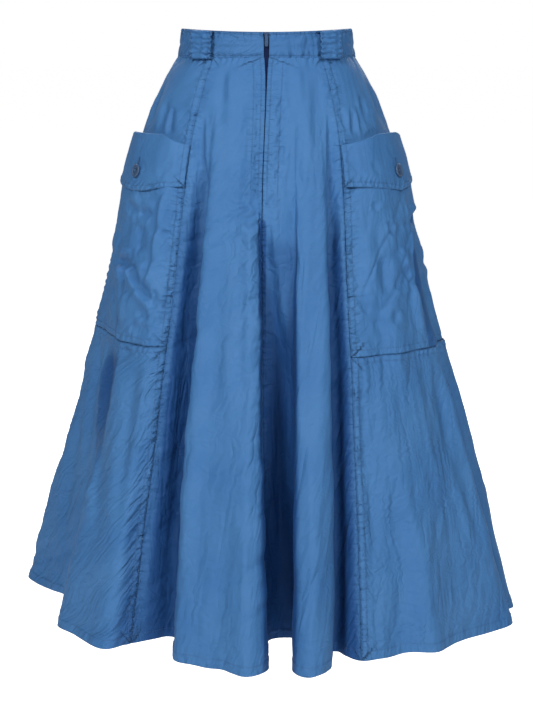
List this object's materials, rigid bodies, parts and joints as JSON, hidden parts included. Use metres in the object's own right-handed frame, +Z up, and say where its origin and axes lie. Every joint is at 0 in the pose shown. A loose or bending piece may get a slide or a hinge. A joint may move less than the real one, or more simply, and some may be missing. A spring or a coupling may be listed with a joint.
{
  "type": "cargo midi skirt",
  "caption": "Full midi skirt in blue cotton with a waistband, wide belt loops, a front zip over an inverted pleat, large patch pockets with buttoned turned-down tops, and a deep-folded hem.",
  "frame": {"origin": "centre of the waist opening, at the middle of the waistband's height", "axes": "+Z up out of the waist, -Y to the front, +X to the wearer's left"},
  "size_m": [0.6832, 0.651, 0.7804],
  "materials": {
    "cloth": "smooth plain-woven cotton, slight sheen",
    "zip_tape": "navy woven tape",
    "button": "blue four-hole button",
    "zip_slider": "blue enamel"
  },
  "bodies": {
    "garment": {"waistband": "cloth", "belt_loop_front_left": "cloth", "belt_loop_front_right": "cloth", "belt_loop_back_left": "cloth", "belt_loop_back_right": "cloth", "front_panel_left": "cloth", "front_panel_right": "cloth", "side_panel_upper_left": "cloth", "side_panel_upper_right": "cloth", "side_panel_lower_left": "cloth", "side_panel_lower_right": "cloth", "back_panel": "cloth", "pocket_left": "cloth", "pocket_right": "cloth", "pocket_flap_left": "cloth", "pocket_flap_right": "cloth", "button_left": "button", "button_right": "button", "zip_tape": "zip_tape", "zip_slider": "zip_slider"},
    "zip_pull_tab": {"zip_pull": "zip_slider"}
  },
  "joints": [
    {"name": "zip_pull_swing", "type": "hinge", "parent": "garment", "child": "zip_pull_tab", "pos_m": [-0.0001, -0.09435, 0.0113], "axis": [-1, 0, 0], "range_deg": [0, 150]}
  ]
}
